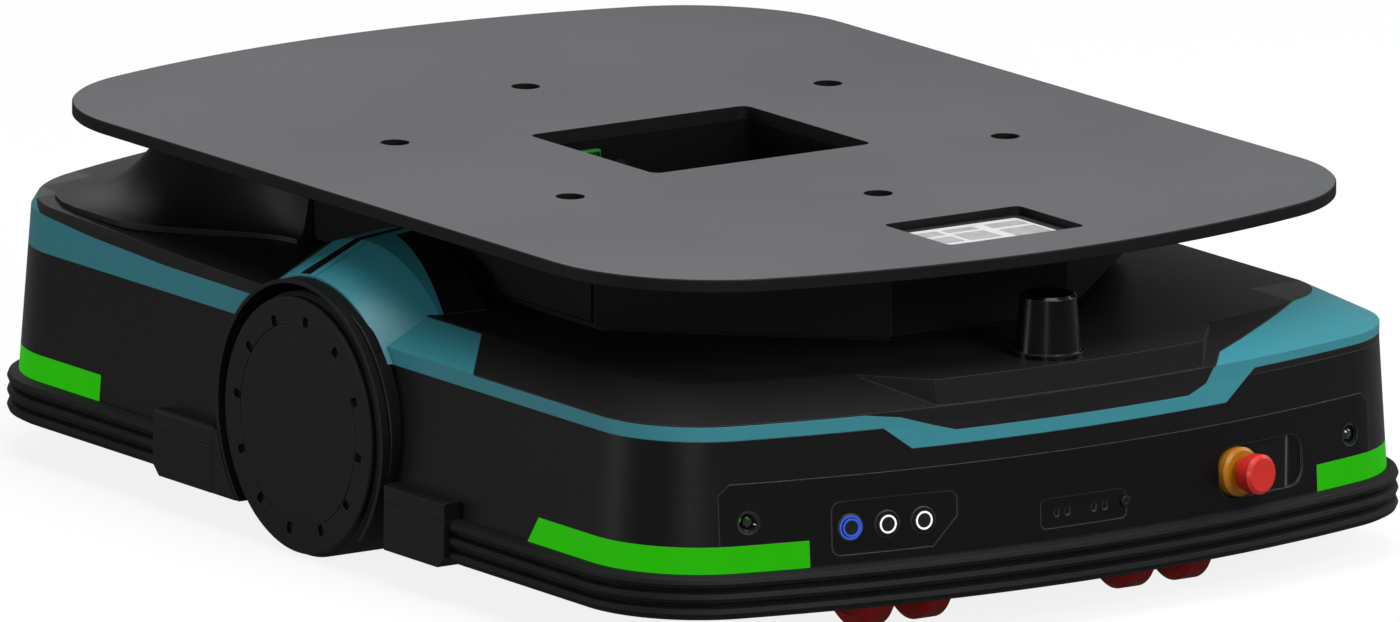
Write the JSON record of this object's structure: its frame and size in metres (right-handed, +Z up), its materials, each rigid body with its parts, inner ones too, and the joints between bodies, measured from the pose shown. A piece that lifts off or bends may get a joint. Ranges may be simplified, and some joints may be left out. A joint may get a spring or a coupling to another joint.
{
  "type": "autonomous mobile robot",
  "caption": "Low wheeled robot with bumpers, teal-trimmed covers, control panel and a raised rounded load plate with bolt holes.",
  "frame": {"origin": "on the floor under the middle of the robot, on the drive axle's plane", "axes": "+Z up, -Y out of the control panel face, X along the drive axle"},
  "size_m": [0.73, 1.0068, 0.276],
  "materials": {
    "battery_case": "moulded case",
    "beam_aluminium": "extruded, black",
    "bumper_rubber": "soft matt",
    "button_steel": "turned, lit ring",
    "castor_red": "polyurethane tread",
    "chassis_steel": "black powder coat",
    "controller_case": "folded sheet",
    "cover_abs": "fine moulded grain",
    "disc_abs": "satin moulded",
    "housing_abs": "satin moulded",
    "hub_aluminium": "turned",
    "label_frame": "matt black",
    "lens_glass": "polished",
    "light_green": "lit diffuser",
    "motor_aluminium": "turned and cast",
    "panel_abs": "satin moulded",
    "plate_coat": "fine matt powder coat",
    "post_gloss": "gloss moulded",
    "riser_coat": "matt black powder coat",
    "sill_abs": "satin moulded",
    "skirt_abs": "satin moulded",
    "stop_red": "satin moulded",
    "stop_yellow": "satin moulded",
    "teal_paint": "satin lacquer",
    "tyre_rubber": "solid polyurethane tread",
    "zinc_steel": "zinc plated"
  },
  "bodies": {
    "base": {"battery_pack": "battery_case", "button_plate": "panel_abs", "castor_plates": "zinc_steel", "chassis": "chassis_steel", "controller_box": "controller_case", "front_bumper": "bumper_rubber", "front_bumper_beam": "beam_aluminium", "front_cover": "cover_abs", "front_left_light": "light_green", "front_left_sill": "sill_abs", "front_lenses": "lens_glass", "front_panel": "panel_abs", "front_post": "post_gloss", "front_right_light": "light_green", "front_right_sill": "sill_abs", "front_skirt": "skirt_abs", "front_trim": "teal_paint", "label_tray": "label_frame", "left_fender_cap": "teal_paint", "left_gearmotor": "motor_aluminium", "left_motor_bracket": "zinc_steel", "left_wheel_housing": "housing_abs", "port_plate": "panel_abs", "rear_bumper": "bumper_rubber", "rear_bumper_beam": "beam_aluminium", "rear_cover": "cover_abs", "rear_left_light": "light_green", "rear_left_sill": "sill_abs", "rear_right_light": "light_green", "rear_right_sill": "sill_abs", "rear_skirt": "skirt_abs", "rear_trim": "teal_paint", "right_fender_cap": "teal_paint", "right_gearmotor": "motor_aluminium", "right_motor_bracket": "zinc_steel", "right_wheel_housing": "housing_abs", "riser": "riser_coat", "stop_base": "stop_yellow", "top_plate": "plate_coat", "well_liner": "riser_coat"},
    "left_wheel": {"left_tyre": "tyre_rubber", "left_hub": "hub_aluminium", "left_wheel_disc": "disc_abs"},
    "right_wheel": {"right_tyre": "tyre_rubber", "right_hub": "hub_aluminium", "right_wheel_disc": "disc_abs"},
    "left_push": {"left_button": "button_steel"},
    "middle_push": {"middle_button": "button_steel"},
    "right_push": {"right_button": "button_steel"},
    "stop_press": {"stop_collar": "stop_red"},
    "stop_turn": {"stop_knob": "stop_red"},
    "front_left_swivel": {"front_left_castor_fork": "zinc_steel"},
    "front_left_rollers": {"front_left_castor_wheels": "castor_red"},
    "front_right_swivel": {"front_right_castor_fork": "zinc_steel"},
    "front_right_rollers": {"front_right_castor_wheels": "castor_red"},
    "rear_left_swivel": {"rear_left_castor_fork": "zinc_steel"},
    "rear_left_rollers": {"rear_left_castor_wheels": "castor_red"},
    "rear_right_swivel": {"rear_right_castor_fork": "zinc_steel"},
    "rear_right_rollers": {"rear_right_castor_wheels": "castor_red"}
  },
  "joints": [
    {"name": "left_wheel_spin", "type": "hinge", "parent": "base", "child": "left_wheel", "pos_m": [-0.33, 0, 0.1], "axis": [1, 0, 0], "continuous": true},
    {"name": "right_wheel_spin", "type": "hinge", "parent": "base", "child": "right_wheel", "pos_m": [0.33, 0, 0.1], "axis": [1, 0, 0], "continuous": true},
    {"name": "front_left_swivel_turn", "type": "hinge", "parent": "base", "child": "front_left_swivel", "pos_m": [-0.119, -0.394, 0.09], "axis": [0, 0, 1], "continuous": true},
    {"name": "front_left_roller_spin", "type": "hinge", "parent": "front_left_swivel", "child": "front_left_rollers", "pos_m": [-0.119, -0.416, 0.032], "axis": [1, 0, 0], "continuous": true},
    {"name": "front_right_swivel_turn", "type": "hinge", "parent": "base", "child": "front_right_swivel", "pos_m": [0.119, -0.394, 0.09], "axis": [0, 0, 1], "continuous": true},
    {"name": "front_right_roller_spin", "type": "hinge", "parent": "front_right_swivel", "child": "front_right_rollers", "pos_m": [0.119, -0.416, 0.032], "axis": [1, 0, 0], "continuous": true},
    {"name": "rear_left_swivel_turn", "type": "hinge", "parent": "base", "child": "rear_left_swivel", "pos_m": [-0.119, 0.394, 0.09], "axis": [0, 0, 1], "continuous": true},
    {"name": "rear_left_roller_spin", "type": "hinge", "parent": "rear_left_swivel", "child": "rear_left_rollers", "pos_m": [-0.119, 0.372, 0.032], "axis": [1, 0, 0], "continuous": true},
    {"name": "rear_right_swivel_turn", "type": "hinge", "parent": "base", "child": "rear_right_swivel", "pos_m": [0.119, 0.394, 0.09], "axis": [0, 0, 1], "continuous": true},
    {"name": "rear_right_roller_spin", "type": "hinge", "parent": "rear_right_swivel", "child": "rear_right_rollers", "pos_m": [0.119, 0.372, 0.032], "axis": [1, 0, 0], "continuous": true},
    {"name": "left_button_press", "type": "slide", "parent": "base", "child": "left_push", "axis": [0.1759, 0.9819, -0.0698], "range_m": [0, 0.0015], "stiffness_N_per_m": 800},
    {"name": "middle_button_press", "type": "slide", "parent": "base", "child": "middle_push", "axis": [0.1492, 0.9863, -0.0698], "range_m": [0, 0.0015], "stiffness_N_per_m": 800},
    {"name": "right_button_press", "type": "slide", "parent": "base", "child": "right_push", "axis": [0.1224, 0.99, -0.0698], "range_m": [0, 0.0015], "stiffness_N_per_m": 800},
    {"name": "stop_knob_press", "type": "slide", "parent": "base", "child": "stop_press", "axis": [-0.1378, 0.988, -0.0698], "range_m": [0, 0.004]},
    {"name": "stop_knob_twist", "type": "hinge", "parent": "stop_press", "child": "stop_turn", "pos_m": [0.15268, -0.4783, 0.092], "axis": [-0.1378, 0.988, -0.0698], "range_deg": [0, 45], "stiffness_Nm_per_rad": 0.05}
  ]
}
